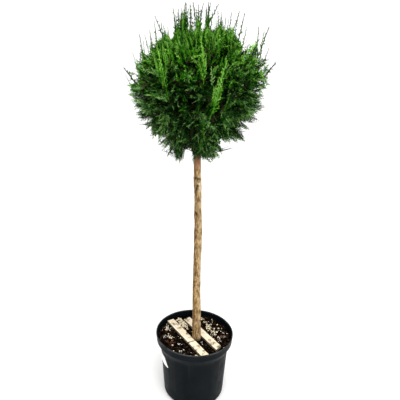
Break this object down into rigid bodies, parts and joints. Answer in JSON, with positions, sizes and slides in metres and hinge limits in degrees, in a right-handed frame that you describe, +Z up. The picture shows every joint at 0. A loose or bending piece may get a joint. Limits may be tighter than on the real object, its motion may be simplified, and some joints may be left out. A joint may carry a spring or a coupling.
{
  "type": "potted standard leyland cypress",
  "caption": "Standard conifer: a straight bare stem carries a ball of feathery foliage, in a round pot with compost and wooden slats across its top.",
  "frame": {"origin": "centre of the pot's flat underside, on the floor", "axes": "+Z up along the pot's axis and the stem; -Y is the front that the picture shows"},
  "size_m": [0.4423, 0.4404, 1.3702],
  "materials": {
    "pot_plastic": "moulded black nursery plastic, satin",
    "compost": "moist bark compost with white perlite",
    "sawn_wood": "rough sawn pale softwood, soiled",
    "label_film": "white self-adhesive film, blank",
    "bark": "tan bark with fine fissures",
    "needles": "flat sprays of scale leaves"
  },
  "bodies": {
    "root": {"pot": "pot_plastic", "soil": "compost", "slat_front_long": "sawn_wood", "slat_front_short": "sawn_wood", "slat_back": "sawn_wood", "label": "label_film", "trunk": "bark", "bough_upper_1": "bark", "bough_upper_2": "bark", "bough_upper_3": "bark", "bough_upper_4": "bark", "bough_upper_5": "bark", "bough_side_1": "bark", "bough_side_2": "bark", "bough_side_3": "bark", "bough_side_4": "bark", "bough_side_5": "bark", "bough_side_6": "bark", "bough_lower_1": "bark", "bough_lower_2": "bark", "bough_lower_3": "bark", "bough_lower_4": "bark", "foliage_top": "needles", "foliage_upper_1": "needles", "foliage_upper_2": "needles", "foliage_upper_3": "needles", "foliage_upper_4": "needles", "foliage_upper_5": "needles", "foliage_side_1": "needles", "foliage_side_2": "needles", "foliage_side_3": "needles", "foliage_side_4": "needles", "foliage_side_5": "needles", "foliage_side_6": "needles", "foliage_lower_1": "needles", "foliage_lower_2": "needles", "foliage_lower_3": "needles", "foliage_lower_4": "needles"}
  },
  "joints": []
}
